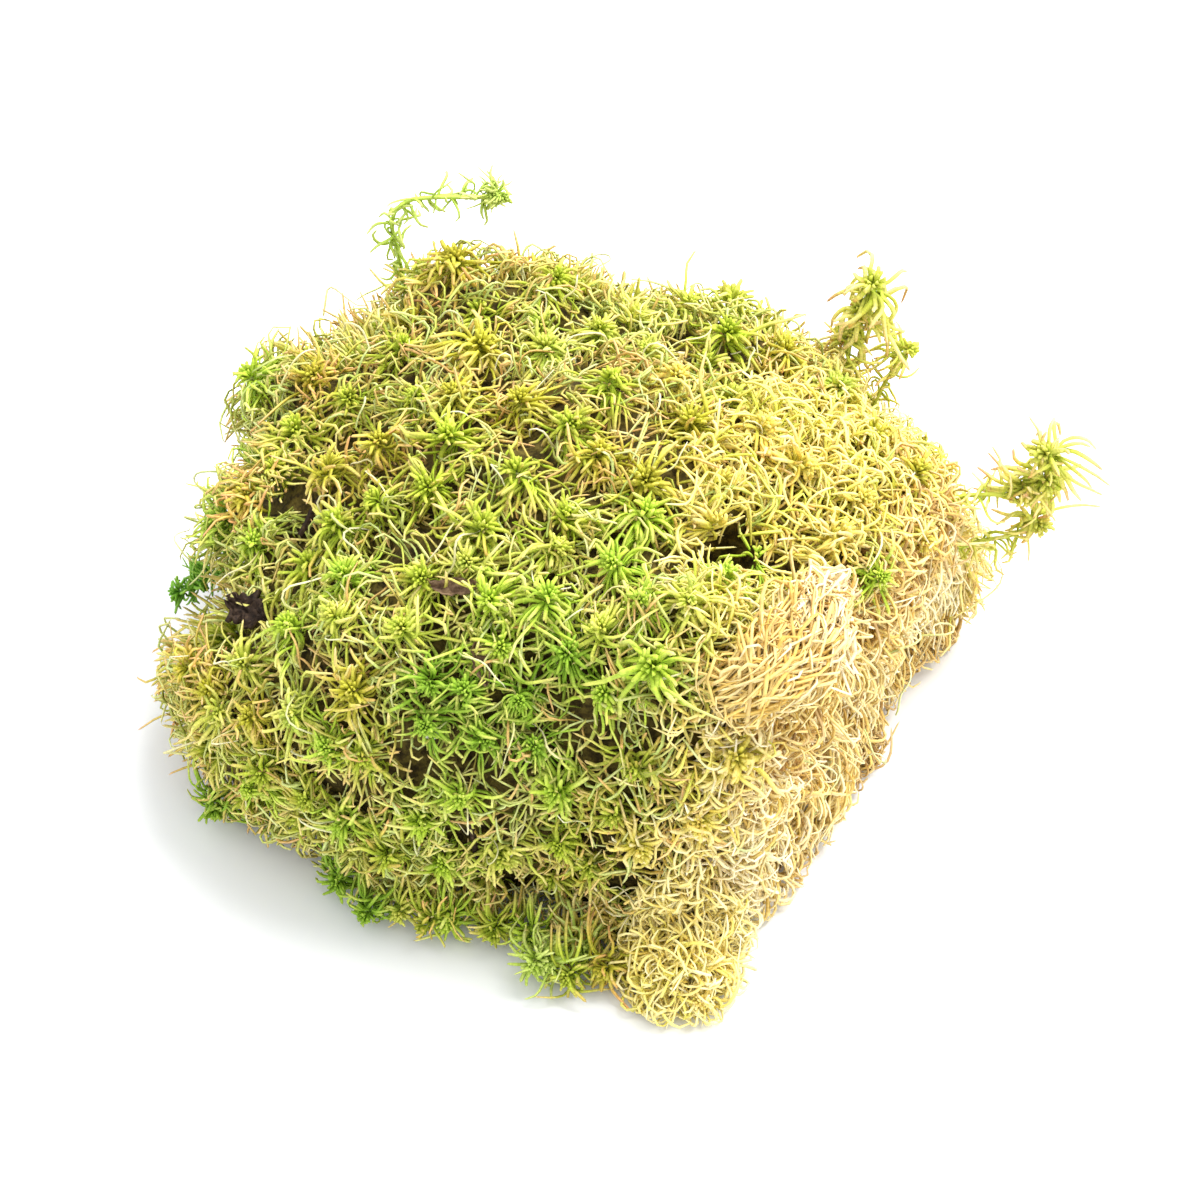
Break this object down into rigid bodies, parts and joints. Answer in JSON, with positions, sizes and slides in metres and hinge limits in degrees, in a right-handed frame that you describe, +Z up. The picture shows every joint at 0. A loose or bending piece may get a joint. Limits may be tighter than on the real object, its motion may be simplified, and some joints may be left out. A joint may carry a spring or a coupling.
{
  "type": "moss clump",
  "caption": "Torn-off clump of bog moss with a flat underside: star-shaped living heads over the top and sides, pale dead stems down the torn side, single shoots standing out.",
  "frame": {"origin": "on the table, under the middle of the clump", "axes": "+Z up, +X to the right of the torn side's viewer, +Y away from the viewer who has the torn side at the right"},
  "size_m": [0.1746, 0.1492, 0.084],
  "materials": {
    "living_moss": "soft matt plant, lime to gold",
    "shoot_moss": "soft matt plant, pale yellow green",
    "dark_moss": "soft matt plant, deep green",
    "dead_stems": "dry matt straw",
    "pale_stems": "dry matt cream straw",
    "bark": "rough dark bark",
    "grey_bark": "weathered twig",
    "dried_leaf": "dry brown leaf",
    "seed_husk": "smooth pale husk"
  },
  "bodies": {
    "root": {"living_cushion": "living_moss", "straw_side": "dead_stems", "combed_lock": "pale_stems", "corner_tuft": "dead_stems", "top_left_shoot": "shoot_moss", "upper_right_shoot": "shoot_moss", "upper_right_small_shoot": "shoot_moss", "right_long_shoot": "shoot_moss", "right_low_shoot": "shoot_moss", "left_dark_shoot": "dark_moss", "front_shoot": "shoot_moss", "dark_twig": "bark", "brown_twig": "bark", "grey_twig": "grey_bark", "bark_flake": "bark", "dried_leaf_upper": "dried_leaf", "dried_leaf_lower": "dried_leaf", "white_seed": "seed_husk"}
  },
  "joints": []
}
